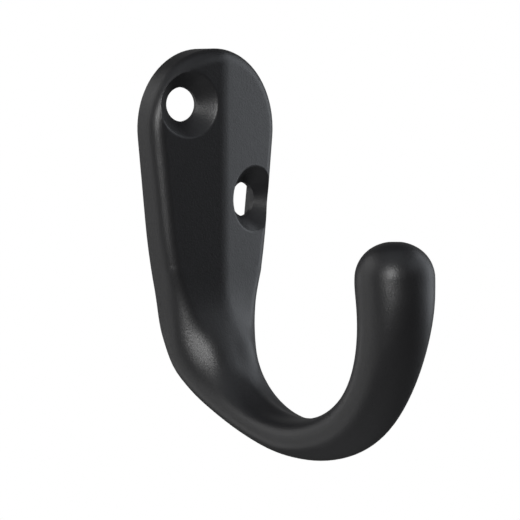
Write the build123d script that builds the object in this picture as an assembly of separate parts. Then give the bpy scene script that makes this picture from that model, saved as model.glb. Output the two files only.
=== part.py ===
from build123d import *
import os
from math import cos, radians, sin, tan

# A single-arm wall hook, cast in one piece. The wall is the plane y = 0, the hook stands out
# towards -y, +z is up, and the hook is symmetric about x = 0 apart from its two screw holes.
# The origin is on the wall face, on the centre line, a little above the heel where the arm's
# underside leaves the wall. All lengths are in millimetres and all angles in degrees.

# Back plate: a round head, straight sides that draw in, then sides that curve in towards the arm.
# Drops are measured down from the centre of the head.
plate_width = 20.98
head_above_origin = 24.13
side_draft = 6.5
straight_side_drop = 12.25
lower_side_radius = 71.0
plate_drop = 18.0

# Front of the plate: two flat facets that meet in a soft vertical ridge
ridge_height = 5.41
facet_slope = 9.7
ridge_radius = 5.0
shoulder_radius = 2.1

# Hollow in the back of the plate, with a flat land round it that bears on the wall
wall_thickness = 2.7
land_width = 1.5
hollow_drop = 17.0
hollow_corner_radius = 2.5

# Screw holes, one in each facet and square to it, countersunk for a flat screw head
bore_diameter = 4.5
countersink_diameter = 8.7
countersink_angle = 90.0
rim_radius = 0.6
rim_run_out = 6.0
upper_hole_offset = 5.4
upper_hole_above_head = 3.14
lower_hole_offset = 5.9
lower_hole_below_head = 9.36

# Underside of the arm: it leaves the wall below the origin and turns in four arcs to point up
heel_drop = 4.42
root_radius = 8.91
root_turn = 57.2
reach_radius = 44.3
reach_turn = 22.4
bow_radius = 19.46
bow_turn = 47.3
rise_radius = 21.11
tip_length = 3.02

# Sections that carry the plate's form on past its end, and the neck where it turns into the arm
first_drop = 19.0
second_drop = 20.5
second_shoulder_radius = 2.35
neck_drop = 26.71
neck_width = 13.35
neck_thickness = 6.27
neck_shoulder_radius = 4.0
neck_wall_start = 0.6

# Ridged sections at the root of the arm: the share of its arc where each stands, its width across,
# its thickness from the underside, the round of its shoulders and where its side walls start
root_share = 0.7
root_width = 11.15
root_thickness = 7.42
root_shoulder_radius = 4.2
root_wall_start = 1.91
reach_start_share = 0.15
reach_start_width = 9.06
reach_start_thickness = 6.23
reach_start_shoulder_radius = 3.0
reach_start_wall_start = 2.0

# Oval sections of the rest of the arm, each with its width across and its thickness from the
# underside, then the round end with its dome
reach_share = 0.6
reach_width = 9.48
reach_thickness = 4.94
bow_start_width = 9.09
bow_start_thickness = 5.15
rise_start_width = 8.29
rise_start_thickness = 6.99
tip_start_width = 9.93
tip_start_thickness = 9.99
tip_share = 0.8
tip_diameter = 10.20
tip_dome_height = 4.5
tip_crown_diameter = 1.6

# Angles round an oval section where the ridged sections change from wall to round to facet
oval_joints = (0, 15, 50, 80, 100, 130, 165, 180, 360)

# Metal behind the wall plane, which the flat back cuts off
trim_depth = 2.5

head_radius = plate_width / 2
slope = tan(radians(facet_slope))
side_view = Plane(origin=(0, 0, 0), x_dir=(0, -1, 0), z_dir=(-1, 0, 0))
front_view = Plane(origin=(0, 0, head_above_origin), x_dir=(1, 0, 0), z_dir=(0, -1, 0))


def half_width(inset, drop):
    """Half the width of the plate's outline, drawn in by an inset, at a drop on its sides."""
    draft = radians(side_draft)
    straight = (head_radius - inset - drop * sin(draft)) / cos(draft)
    past_straight = max(drop - straight_side_drop, 0)
    return straight - past_straight**2 / (2 * lower_side_radius)


def plate_outline(inset, drop):
    """The outline seen from the front, drawn in by an inset and cut off straight at a drop."""
    head = CenterArc((0, 0), head_radius - inset, -side_draft, 180 + 2 * side_draft)
    bend = (half_width(inset, straight_side_drop), -straight_side_drop)
    end = (half_width(inset, drop), -drop)
    right = Line(head @ 0, bend)
    lower_right = TangentArc(bend, end, tangent=right % 1)
    sides = [right, lower_right]
    sides += [mirror(edge, about=Plane.YZ) for edge in sides]
    foot = Line(end, (-end[0], end[1]))
    return make_face([head, *sides, foot])


def level(drop):
    """The horizontal plane at a drop below the head's centre, with y pointing out of the wall."""
    return Plane(origin=(0, 0, head_above_origin - drop), x_dir=(1, 0, 0), z_dir=(0, 0, -1))


def behind_facets(ridge):
    """A long upright bar whose front is the two facets, set to a given ridge height."""
    reach = plate_width
    edge = ridge - slope * reach
    front = FilletPolyline((reach, edge), (0, ridge), (-reach, edge), radius=ridge_radius)
    sides = Polyline((-reach, edge), (-reach, -reach), (reach, -reach), (reach, edge))
    section = make_face(front.edges() + sides.edges())
    return extrude(level(0) * section, amount=2 * plate_width, both=True)


def plate():
    """The plate down to its end above the arm, with the front edge rounded."""
    outline = front_view * plate_outline(0, plate_drop)
    blank = extrude(outline, amount=2 * ridge_height) + extrude(outline, amount=-trim_depth)
    faceted = blank & behind_facets(ridge_height)
    foot = faceted.faces().sort_by(Axis.Z)[0]
    walls = faceted.faces().filter_by(lambda face: abs(face.normal_at().Y) < slope / 2) - [foot]
    rim = [edge for edge in walls.edges() - foot.edges() if edge.bounding_box().max.Y < 0]
    return fillet(rim, shoulder_radius)


def ridged_section(plane, width, ridge, shoulder_round, wall_start, back_depth):
    """A ridged section: side walls, rounded shoulders, two facets, a soft ridge and an oval back."""
    side = width / 2
    shoulder = ridge - slope * side
    front = FilletPolyline(
        (side, wall_start),
        (side, shoulder),
        (0, ridge),
        (-side, shoulder),
        (-side, wall_start),
        radius=(shoulder_round, ridge_radius, shoulder_round),
    )
    back = EllipticalCenterArc((0, wall_start), side, back_depth, 180, arc_size=180)
    return plane * make_face(front.edges() + back.edges())


def oval_section(plane, width, thickness):
    """An elliptical section, in as many pieces as a ridged section so that the loft can join them."""
    arcs = [
        EllipticalCenterArc((0, thickness / 2), width / 2, thickness / 2, start, arc_size=end - start)
        for start, end in zip(oval_joints, oval_joints[1:])
    ]
    return plane * make_face(arcs)


def plate_section(drop, shoulder_round):
    """The plate's own section, carried on past its end to a drop."""
    width = 2 * half_width(0, drop)
    return ridged_section(level(drop), width, ridge_height, shoulder_round, 0, trim_depth)


def neck_section():
    """The section where the front of the plate starts to turn out into the arm."""
    return ridged_section(
        level(neck_drop), neck_width, neck_thickness, neck_shoulder_radius, neck_wall_start, trim_depth
    )


def root_section(plane):
    """The section where the underside has left the wall and the shoulders are nearly round."""
    return ridged_section(
        plane, root_width, root_thickness, root_shoulder_radius, root_wall_start, root_wall_start
    )


def reach_start_section(plane):
    """The section where the last of the ridge fades and the underside rounds over."""
    return ridged_section(
        plane,
        reach_start_width,
        reach_start_thickness,
        reach_start_shoulder_radius,
        reach_start_wall_start,
        reach_start_wall_start,
    )


def arm_underside():
    """The arcs of the underside line in the plane of symmetry, from the heel round to the tip."""
    root = JernArc((0, -heel_drop), (0, -1), root_radius, root_turn)
    reach = JernArc(root @ 1, root % 1, reach_radius, reach_turn)
    bow = JernArc(reach @ 1, reach % 1, bow_radius, bow_turn)
    rise = JernArc(bow @ 1, bow % 1, rise_radius, 180 - root_turn - reach_turn - bow_turn)
    tip = Line(rise @ 1, rise @ 1 + (rise % 1) * tip_length)
    return [side_view * edge for edge in (root, reach, bow, rise, tip)]


def station(edge, share):
    """The plane square to an edge of the underside line, with y pointing into the metal."""
    return Plane(origin=edge @ share, x_dir=(1, 0, 0), z_dir=edge % share)


def arm(plate_end):
    """The neck and the arm, in one loft from the plate's end to the round tip."""
    root, reach, bow, rise, tip = arm_underside()
    sections = [
        plate_end,
        plate_section(first_drop, shoulder_radius),
        plate_section(second_drop, second_shoulder_radius),
        neck_section(),
        root_section(station(root, root_share)),
        reach_start_section(station(reach, reach_start_share)),
        oval_section(station(reach, reach_share), reach_width, reach_thickness),
        oval_section(station(bow, 0), bow_start_width, bow_start_thickness),
        oval_section(station(rise, 0), rise_start_width, rise_start_thickness),
        oval_section(station(tip, 0), tip_start_width, tip_start_thickness),
        oval_section(station(tip, tip_share), tip_diameter, tip_diameter),
        oval_section(station(tip, 1), tip_diameter, tip_diameter),
    ]
    return loft(sections)


def tip_dome():
    """The rounded end of the arm: a quarter ellipse turned round a small flat crown."""
    end = station(arm_underside()[-1], 1)
    centre = end.from_local_coords((0, tip_diameter / 2, 0))
    crown = tip_crown_diameter / 2
    quarter = EllipticalCenterArc((crown, 0), tip_diameter / 2 - crown, tip_dome_height, 0, arc_size=90)
    inside = Polyline(quarter @ 1, (0, tip_dome_height), (0, 0), quarter @ 0)
    profile = make_face(quarter.edges() + inside.edges())
    upright = Plane(origin=centre, x_dir=(1, 0, 0), z_dir=(0, -1, 0))
    return revolve(upright * profile, Axis(centre, (0, 0, 1)))


def back_hollow():
    """The hollow behind the plate: its floor keeps an even wall under both facets."""
    outline = plate_outline(land_width, hollow_drop)
    lower_corners = outline.vertices().sort_by(Axis.Y)[:2]
    outline = fillet(lower_corners, hollow_corner_radius)
    inner_ridge = ridge_height - wall_thickness / cos(radians(facet_slope))
    return extrude(front_view * outline, amount=ridge_height) & behind_facets(inner_ridge)


def screw_hole(side, offset, above_head):
    """The cutter of a countersunk hole square to a facet. Its rounded rim ends just short of flat."""
    tilt = radians(facet_slope)
    outward = (side * sin(tilt), -cos(tilt), 0)
    place = (side * offset, slope * offset - ridge_height, head_above_origin + above_head)
    bore = bore_diameter / 2
    mouth = countersink_diameter / 2
    half_angle = countersink_angle / 2
    cone_depth = (mouth - bore) / tan(radians(half_angle))
    rim_centre = mouth + rim_radius * tan(radians((90 - half_angle) / 2))
    rim_turn = 90 - half_angle - rim_run_out
    rim = CenterArc((rim_centre, -rim_radius), rim_radius, 180 - half_angle, -rim_turn)
    flare = Line(rim @ 1, rim @ 1 + (rim % 1) * mouth)
    rest = Polyline(
        rim @ 0,
        (bore, -cone_depth),
        (bore, -2 * ridge_height),
        (0, -2 * ridge_height),
        (0, mouth),
        ((flare @ 1).X, mouth),
        flare @ 1,
    )
    profile = make_face(rim.edges() + flare.edges() + rest.edges())
    along_axis = Plane(origin=place, x_dir=(0, 0, 1), z_dir=(-outward[1], outward[0], 0))
    return revolve(along_axis * profile, Axis(place, outward))


def hook_casting():
    """The whole hook: plate, arm and rounded end, flat at the back, hollowed and drilled."""
    back_plate = plate()
    plate_end = back_plate.faces().sort_by(Axis.Z)[0]
    hook = split(back_plate + arm(plate_end) + tip_dome(), bisect_by=Plane.XZ, keep=Keep.TOP)
    hook -= back_hollow()
    hook -= screw_hole(-1, upper_hole_offset, upper_hole_above_head)
    hook -= screw_hole(1, lower_hole_offset, -lower_hole_below_head)
    return hook


if __name__ == "__main__":
    os.makedirs("parts", exist_ok=True)
    hook = hook_casting()
    print("hook_casting: volume", round(hook.volume, 1), "mm3, valid", hook.is_valid)
    export_step(hook, "parts/hook_casting.step")
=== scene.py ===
# %% [markdown]
# # A black coat hook
# This lesson dresses one object: a small wall hook, cast in one piece and coated black. The shape
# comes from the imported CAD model, which is loaded first and never moved. What Blender adds is the
# looks: smooth shading over the cast form, a fair bend, the fine grain of the coating, a pale studio
# round it and a camera where the photograph was taken.

# %% Load the frame
from math import cos, pi, radians, sin

import bmesh
import bpy
import numpy as np
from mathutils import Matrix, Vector


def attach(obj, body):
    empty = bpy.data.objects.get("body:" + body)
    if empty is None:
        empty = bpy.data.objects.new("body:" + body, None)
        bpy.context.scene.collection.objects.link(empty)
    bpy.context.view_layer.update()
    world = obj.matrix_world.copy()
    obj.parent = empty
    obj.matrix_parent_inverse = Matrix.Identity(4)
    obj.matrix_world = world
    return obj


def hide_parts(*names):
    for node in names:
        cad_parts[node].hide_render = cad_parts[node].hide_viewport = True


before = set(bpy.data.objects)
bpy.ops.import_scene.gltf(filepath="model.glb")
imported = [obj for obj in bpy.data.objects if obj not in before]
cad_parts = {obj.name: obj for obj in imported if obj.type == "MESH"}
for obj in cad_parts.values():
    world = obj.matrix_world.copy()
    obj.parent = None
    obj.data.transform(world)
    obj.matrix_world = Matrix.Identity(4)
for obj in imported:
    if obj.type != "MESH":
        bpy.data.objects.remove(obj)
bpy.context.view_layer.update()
millimetre = 0.001

# %% [markdown]
# ## The cast skin
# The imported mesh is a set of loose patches, one for each face of the CAD solid, so light would break
# along every seam between them. On the real casting those seams do not exist: plate, shoulder and arm
# run into one another. A new mesh could be modelled over the old one, but the form is already right,
# so a copy has its seams welded and replaces it.

# %% Weld the patches into one skin
weld_distance = 0.002 * millimetre

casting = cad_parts["hook_casting"]
skin = bmesh.new()
skin.from_mesh(casting.data)
loose_count = len(skin.verts)
bmesh.ops.remove_doubles(skin, verts=skin.verts, dist=weld_distance)
welded_mesh = bpy.data.meshes.new("hook_skin")
skin.to_mesh(welded_mesh)
skin.free()
print("welded", loose_count, "loose corners into", len(welded_mesh.vertices))

# %% [markdown]
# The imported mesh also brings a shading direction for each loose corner. They no longer fit once the
# corners are welded, and would draw a comb of false light on the flat back. So they are dropped, and
# Blender works them out afresh. Only the true edges stay sharp, such as the rims of the holes and the
# edge of the flat back: an edge is sharp where its two faces meet at more than a set angle.

# %% Shade the skin smooth between its true edges
sharp_angle = radians(32)

imported_directions = welded_mesh.attributes.get("custom_normal")
if imported_directions:
    welded_mesh.attributes.remove(imported_directions)
welded_mesh.polygons.foreach_set("use_smooth", np.ones(len(welded_mesh.polygons), bool))
welded_mesh.set_sharp_from_angle(angle=sharp_angle)
hook = bpy.data.objects.new("hook_skin", welded_mesh)
bpy.context.scene.collection.objects.link(hook)
print("smooth faces:", len(welded_mesh.polygons))

# %% [markdown]
# ## A fair arm
# The neck and arm of the casting flow in one long bend. In the CAD they are drawn through a dozen
# sections, and gloss shows up the slight swellings between them. The skin is made fair in the way a
# boat builder trues a hull. First the bend is unrolled round an axis through the throat of the hook.
# Each corner then has a swing, in degrees: 0 points at the plate, 90 straight down and 180 at the tip.
# Its reach is its distance from the axis.

# %% Unroll the bend
throat_y, throat_z = -21.5 * millimetre, 4.0 * millimetre
fair_start, fair_end = -12.0, 120.0
neck_top = 12 * millimetre

points = np.empty(3 * len(welded_mesh.vertices))
welded_mesh.vertices.foreach_get("co", points)
points = points.reshape(-1, 3)
swing = np.degrees(np.arctan2(throat_z - points[:, 2], points[:, 1] - throat_y))
reach = np.hypot(points[:, 1] - throat_y, points[:, 2] - throat_z)
on_arm = (swing > fair_start) & (swing < fair_end) & (points[:, 2] < neck_top)
swing, reach = swing[on_arm], reach[on_arm]
x, depth = points[on_arm, 0], -points[on_arm, 1]
print("corners on the arm:", on_arm.sum())

# %% [markdown]
# The mesh has many small triangles in some places and a few large ones in others. For the fit that
# comes next, each corner counts as much as the area of skin round it, so that crowded places do not
# pull harder than bare ones.

# %% Weigh each corner by its share of the skin
triangle_corners = np.empty(3 * len(welded_mesh.polygons), int)
welded_mesh.polygons.foreach_get("vertices", triangle_corners)
triangle_areas = np.empty(len(welded_mesh.polygons))
welded_mesh.polygons.foreach_get("area", triangle_areas)
share = np.bincount(triangle_corners, np.repeat(triangle_areas, 3), len(points))[on_arm]
weight = np.sqrt(share)[:, None]
print("skin on the arm in mm2:", round(share.sum() / 3 / millimetre**2))

# %% [markdown]
# Every ring round the arm is now written as a sum of a few cosines of the turn round it, and each
# cosine may change only slowly along the bend. What the sum cannot follow is the unevenness. Blurring
# the mesh would be quicker, but it shrinks a thin arm, and a fitted sum does not.


# %% Write the rings as sums of cosines
def along(angles, terms):
    """Smooth curves along the bend: Chebyshev polynomials of the swing, scaled to run from -1 to 1."""
    scaled = 2 * (angles - fair_start) / (fair_end - fair_start) - 1
    return np.polynomial.chebyshev.chebvander(scaled, terms)


def fitted(columns, values):
    """The sum of columns that lies closest to the values, by least squares over the weighted corners."""
    return columns @ np.linalg.lstsq(columns * weight, values * weight[:, 0], rcond=None)[0]


centre_terms, along_terms, ring_terms = 4, 4, 6

centre = fitted(along(swing, centre_terms), reach)
turn = np.arctan2(x, reach - centre)
radius = np.hypot(x, reach - centre)
ring = np.cos(turn[:, None] * np.arange(ring_terms))
rings = (along(swing, along_terms)[:, :, None] * ring[:, None, :]).reshape(len(swing), -1)
fair_radius = fitted(rings, radius)
print("cosine terms in the fit:", rings.shape[1])

# %% [markdown]
# The unevenness is taken off on the neck only. It fades in below the flat facets, fades out before the
# round of the bow, and leaves alone what lies near the wall and most of the underside. The side is the
# turn without its sign: 0 underneath, 180 on the throat. Both halves of the hook are treated alike.


# %% Take off the unevenness
def smoothstep(value, low, high):
    """0 below low, 1 above high, and 3 t squared minus 2 t cubed between them."""
    t = np.clip((value - low) / (high - low), 0, 1)
    return t * t * (3 - 2 * t)


underside_share = 0.25

side = np.degrees(abs(turn))
off_wall = smoothstep(depth, low=0.2 * millimetre, high=3 * millimetre)
amount = smoothstep(swing, low=10, high=38) * (1 - smoothstep(swing, low=75, high=110)) * off_wall
amount *= underside_share + (1 - underside_share) * smoothstep(side, low=40, high=80)
move = amount * (fair_radius - radius)
print("unevenness taken off, rms in mm:", round(float(np.sqrt((move**2).mean())) / millimetre, 3))

# %% [markdown]
# On the real hook the front of the neck leans out as soon as it leaves the plate, and that lean is
# what catches the lamp in one long highlight. Two soft swellings give it, one on the front and one on
# the shoulders, with a very slight rounding where the facet turns into the shoulder. Each is a bell
# along the bend, so it begins and ends without a mark.


# %% Lean the neck out
def bell(value, middle, spread):
    """1 in the middle, falling off as e to the minus square of the distance counted in spreads."""
    return np.exp(-(((value - middle) / spread) ** 2))


front_lean = 0.45 * millimetre
shoulder_lean = 0.36 * millimetre
edge_rounding = 0.05 * millimetre

lean = front_lean * bell(swing, middle=27, spread=14) * smoothstep(side, low=112, high=172)
lean += shoulder_lean * bell(swing, middle=25, spread=12) * smoothstep(side, low=60, high=108)
lean -= edge_rounding * bell(swing, middle=14, spread=13) * bell(side, middle=106, spread=24)
move += lean * smoothstep(swing, low=-12, high=4) * off_wall
print("most the neck moves, in mm:", round(abs(move).max() / millimetre, 3))

# %% Roll the bend up again
radius = radius + move
reach = centre + radius * np.cos(turn)
points[on_arm, 0] = radius * np.sin(turn)
points[on_arm, 1] = throat_y + reach * np.cos(np.radians(swing))
points[on_arm, 2] = throat_z - reach * np.sin(np.radians(swing))
print("corners put back:", len(radius))

# %% [markdown]
# The round tip has a slightly fuller crown than the CAD gives it. A small bell raises its top, and the
# finished corners go back into the mesh in one go.

# %% Raise the crown of the tip
tip_y = -38.65 * millimetre
crown_foot = 5.2 * millimetre
crown_edge = 6 * millimetre
crown_spread = 1.7 * millimetre
crown_rise = 0.2 * millimetre

tip_reach = np.hypot(points[:, 0], points[:, 1] - tip_y)
on_tip = (points[:, 2] > crown_foot) & (tip_reach < crown_edge)
points[:, 2] += on_tip * crown_rise * bell(tip_reach, middle=0, spread=crown_spread)
welded_mesh.vertices.foreach_set("co", points.ravel())
welded_mesh.update()
print("corners on the crown:", on_tip.sum())

# %% [markdown]
# Where a flat facet meets a round shoulder, a corner's shading direction is an average of the faces
# round it. Letting the large flat faces weigh most keeps the facets flat in the light and bends all
# the shading inside the narrow round, as on the casting. A modifier does this without any change to
# the shape.

# %% Let the flat facets weigh most
weighted = hook.modifiers.new("flat_facets", "WEIGHTED_NORMAL")
weighted.mode = "FACE_AREA"
weighted.weight = 50
weighted.keep_sharp = True
print("modifiers on the skin:", [modifier.name for modifier in hook.modifiers])

# %% [markdown]
# ## The black coating
# The casting is finished in a satin black coat, sprayed as powder and baked. It is a dielectric, not
# a metal: a nearly black body under a skin that scatters light widely. Up close it is not even: the
# baked powder leaves a fine grain, which breaks the highlights into specks, and a slow wave under it.
# Both could be carved into the mesh, but they are far finer than its triangles, so they are bumps in
# the material.


# %% Helpers for colours and nodes
def linear(hex_colour):
    """A colour written as sRGB hex, turned into the linear values that shaders work in."""
    srgb = np.array([int(hex_colour[i : i + 2], 16) for i in (1, 3, 5)]) / 255
    low, high = srgb / 12.92, ((srgb + 0.055) / 1.055) ** 2.4
    return (*np.where(srgb <= 0.04045, low, high), 1.0)


def add_node(tree, kind, settings=None, links=None):
    """Add a node with its settings and links. A socket goes by name, or by number where two share it."""
    node = tree.nodes.new(kind)
    for key, value in (settings or {}).items():
        if isinstance(key, int) or key in node.inputs:
            node.inputs[key].default_value = value
        else:
            setattr(node, key, value)
    for key, output in (links or {}).items():
        tree.links.new(output, node.inputs[key])
    return node


coat_black = linear("#222224")
print("coating colour, linear:", [round(float(v), 4) for v in coat_black[:3]])

# %% [markdown]
# The grain of such a coat is about a tenth of a millimetre wide, too fine for the picture, so it is
# drawn at a quarter of a millimetre. Powder coats have an index of refraction near 1.5. It is matched
# at 1.7 here: a face that looks at the viewer then shines as it should under dimmer lamps, and faces
# seen edge-on turn less white.

# %% The coating material
# Satin black powder coat: soft grey sheens with a speckled edge, and near black where no lamp shows.
grain_size, grain_height = 0.25 * millimetre, 0.023 * millimetre
wave_size, wave_height = 1.3 * millimetre, 0.012 * millimetre

coating = bpy.data.materials.new("satin_black_powder_coat")
coating.use_nodes = True
tree = coating.node_tree
tree.nodes.clear()
place = add_node(tree, "ShaderNodeTexCoord").outputs["Object"]
grain_settings = {"Scale": 1 / grain_size, "Detail": 2.0, "Roughness": 0.6}
grain = add_node(tree, "ShaderNodeTexNoise", grain_settings, {"Vector": place}).outputs["Fac"]
wave_settings = {"Scale": 1 / wave_size, "Detail": 1.0}
wave = add_node(tree, "ShaderNodeTexNoise", wave_settings, {"Vector": place}).outputs["Fac"]
wave_bump = {"Strength": 1.0, "Distance": wave_height}
waved = add_node(tree, "ShaderNodeBump", wave_bump, {"Height": wave}).outputs["Normal"]
grain_bump = {"Strength": 1.0, "Distance": grain_height}
grained = add_node(tree, "ShaderNodeBump", grain_bump, {"Height": grain, "Normal": waved}).outputs["Normal"]
satin = {"Base Color": coat_black, "Roughness": 0.42, "IOR": 1.7}
coat = add_node(tree, "ShaderNodeBsdfPrincipled", satin, {"Normal": grained}).outputs["BSDF"]
add_node(tree, "ShaderNodeOutputMaterial", links={"Surface": coat})
hook.data.materials.append(coating)
print("coating grain in mm:", grain_size / millimetre, "and wave in mm:", wave_size / millimetre)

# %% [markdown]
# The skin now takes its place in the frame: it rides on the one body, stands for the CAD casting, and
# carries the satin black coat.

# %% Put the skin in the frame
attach(hook, "root")
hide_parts("hook_casting")
print("in the frame:", hook.name)

# %% [markdown]
# ## The studio
# A black object shows little but reflections, so the room matters as much as the coat. The camera sees
# plain white. Reflections see a dim room, a little brighter behind the hook, as a lit backdrop is. One
# world can do both, because a shader can ask whether a ray comes from the camera.

# %% White surroundings
view_azimuth = radians(-40.29)
view_elevation = radians(1.72)
room_glow, backdrop_glow = 0.033, 0.165
backdrop_edge, backdrop_full = 0.6, 0.95


def direction(azimuth, elevation):
    """The unit vector that points at an azimuth, measured from -y towards +x, and an elevation."""
    return Vector((sin(azimuth) * cos(elevation), -cos(azimuth) * cos(elevation), sin(elevation)))


towards_camera = direction(view_azimuth, view_elevation)
world = bpy.data.worlds.new("white_studio")
bpy.context.scene.world = world
world.use_nodes = True
tree = world.node_tree
tree.nodes.clear()
white = (1, 1, 1, 1)
camera_ray = add_node(tree, "ShaderNodeLightPath").outputs["Is Camera Ray"]
way = add_node(tree, "ShaderNodeTexCoord").outputs["Generated"]
facing = {"operation": "DOT_PRODUCT", 1: -towards_camera}
behind = add_node(tree, "ShaderNodeVectorMath", facing, {0: way}).outputs["Value"]
spread = {"interpolation_type": "SMOOTHSTEP", "From Min": backdrop_edge, "From Max": backdrop_full}
spread.update({"To Min": room_glow, "To Max": backdrop_glow})
glow = add_node(tree, "ShaderNodeMapRange", spread, {"Value": behind}).outputs["Result"]
seen = add_node(tree, "ShaderNodeBackground", {"Color": white, "Strength": 1.0}).outputs[0]
lighting = add_node(tree, "ShaderNodeBackground", {"Color": white}, {"Strength": glow}).outputs[0]
room = add_node(tree, "ShaderNodeMixShader", links={"Fac": camera_ray, 1: lighting, 2: seen}).outputs[0]
add_node(tree, "ShaderNodeOutputWorld", links={"Surface": room})
print("room glow:", room_glow, "behind the hook:", backdrop_glow)

# %% [markdown]
# The hook hangs well above a sheet of white paper. The paper throws a little light up at the underside
# and takes the hook's soft shadow. A glow that only the camera sees keeps it as white as the backdrop.

# %% Floor
floor_drop = 0.5
floor_half = 1.5

floor_corners = np.array([(-1, -1), (1, -1), (1, 1), (-1, 1)]) * floor_half
floor_points = np.column_stack((floor_corners, np.full(4, -floor_drop)))
floor_mesh = bpy.data.meshes.new("floor")
floor_mesh.from_pydata(floor_points, [], [(0, 1, 2, 3)])
floor = bpy.data.objects.new("floor", floor_mesh)
bpy.context.scene.collection.objects.link(floor)

# White paper: matt and even, with no sheen of its own.
paper = bpy.data.materials.new("white_paper")
paper.use_nodes = True
tree = paper.node_tree
tree.nodes.clear()
camera_ray = add_node(tree, "ShaderNodeLightPath").outputs["Is Camera Ray"]
matt = add_node(tree, "ShaderNodeBsdfDiffuse", {"Color": linear("#f2f2f2")}).outputs[0]
shine = add_node(tree, "ShaderNodeEmission", {"Color": white}, {"Strength": camera_ray}).outputs[0]
sheet = add_node(tree, "ShaderNodeAddShader", links={0: matt, 1: shine}).outputs[0]
add_node(tree, "ShaderNodeOutputMaterial", links={"Surface": sheet})
floor.data.materials.append(paper)
print("floor in m:", 2 * floor_half, "wide,", floor_drop, "below the hook")

# %% [markdown]
# The camera stands where the photograph was taken: to the left of the hook, level with it, and far
# enough off for a long lens. A near camera with a short lens would swell the tip, which points forward.

# %% Camera
view_distance = 0.6
aim = Vector((0, -12.40, 7.02)) * millimetre

camera_data = bpy.data.cameras.new("camera")
camera_data.sensor_width = 36
camera_data.lens = 319.4
camera_data.clip_start, camera_data.clip_end = 0.01, 10
camera = bpy.data.objects.new("camera", camera_data)
bpy.context.scene.collection.objects.link(camera)
camera.location = aim + towards_camera * view_distance
camera.rotation_euler = towards_camera.to_track_quat("Z", "Y").to_euler()
bpy.context.scene.camera = camera
print("camera at mm:", [round(v / millimetre, 1) for v in camera.location])

# %% [markdown]
# ## The lamps
# Each band of grey on the coat is the reflection of one lamp, so every lamp is placed by the angle at
# which the camera would see it: degrees to the right of the camera and degrees above it. A lamp's
# energy is its radiance times pi times its area, so that its size can change while its reflection
# stays as bright. The lamps on the right and overhead are a little cooler than the others.

# %% A softbox
white_light, cool_light = "#ffffff", "#f3f8ff"
lamp_level = 0.65
lamp_distance = 0.4


def softbox(name, right, up, width, height, radiance, colour=white_light, distance=lamp_distance):
    """A rectangular lamp, placed by its angles right of and above the camera, facing the hook."""
    lamp = bpy.data.lights.new(name, "AREA")
    lamp.shape = "RECTANGLE"
    lamp.size, lamp.size_y = width, height
    lamp.energy = lamp_level * radiance * pi * width * height
    lamp.color = linear(colour)[:3]
    holder = bpy.data.objects.new(name, lamp)
    bpy.context.scene.collection.objects.link(holder)
    way = direction(view_azimuth + radians(right), radians(up))
    holder.location = aim + way * distance
    holder.rotation_euler = way.to_track_quat("Z", "Y").to_euler()
    return holder


print("a lamp's usual distance in m:", lamp_distance)

# %% [markdown]
# Four lamps on the right light the right facet, the right of the neck and the right edge of the arm.

# %% Lamps on the right
softbox("right_softbox", right=120, up=3, width=0.24, height=0.22, radiance=2.1, colour=cool_light)
softbox("right_fill", right=92, up=3, width=0.2, height=0.24, radiance=0.8, colour=cool_light)
softbox("upper_right_softbox", right=72, up=36, width=0.3, height=0.2, radiance=0.75, colour=cool_light)
softbox("back_right_softbox", right=118, up=33, width=0.24, height=0.2, radiance=1.6, colour=cool_light)
print("lamps so far:", len(bpy.data.lights))

# %% [markdown]
# Four on the left light the side wall of the plate, the left of the arm and, from below, the underside
# of the bow. One overhead lifts the head of the plate and the inside of the bend.

# %% Lamps on the left and overhead
softbox("left_softbox", right=-84, up=3, width=0.26, height=0.26, radiance=0.95)
softbox("back_left_softbox", right=-125, up=3, width=0.2, height=0.2, radiance=1.15)
softbox("upper_left_softbox", right=-95, up=36, width=0.4, height=0.2, radiance=1.4)
softbox("low_left_softbox", right=-90, up=-33, width=0.5, height=0.15, radiance=0.88, distance=0.3)
softbox("top_softbox", right=0, up=70, width=0.4, height=0.4, radiance=0.4, colour=cool_light)
print("lamps so far:", len(bpy.data.lights))

# %% [markdown]
# Two small strong lamps near the camera make the bright spots: the key lamp those on the neck and the
# tip, and a lower one the line along the shoulder.

# %% Key lamps
softbox("key_lamp", right=-10, up=19, width=0.08, height=0.12, radiance=40, distance=0.5)
softbox("shoulder_lamp", right=-18, up=5, width=0.07, height=0.07, radiance=20, distance=0.5)
print("lamps in all:", len(bpy.data.lights))

# %% [markdown]
# ## Finish
# Colours are shown as they are, without a film look.

# %% Finish
bpy.context.scene.view_settings.view_transform = "Standard"
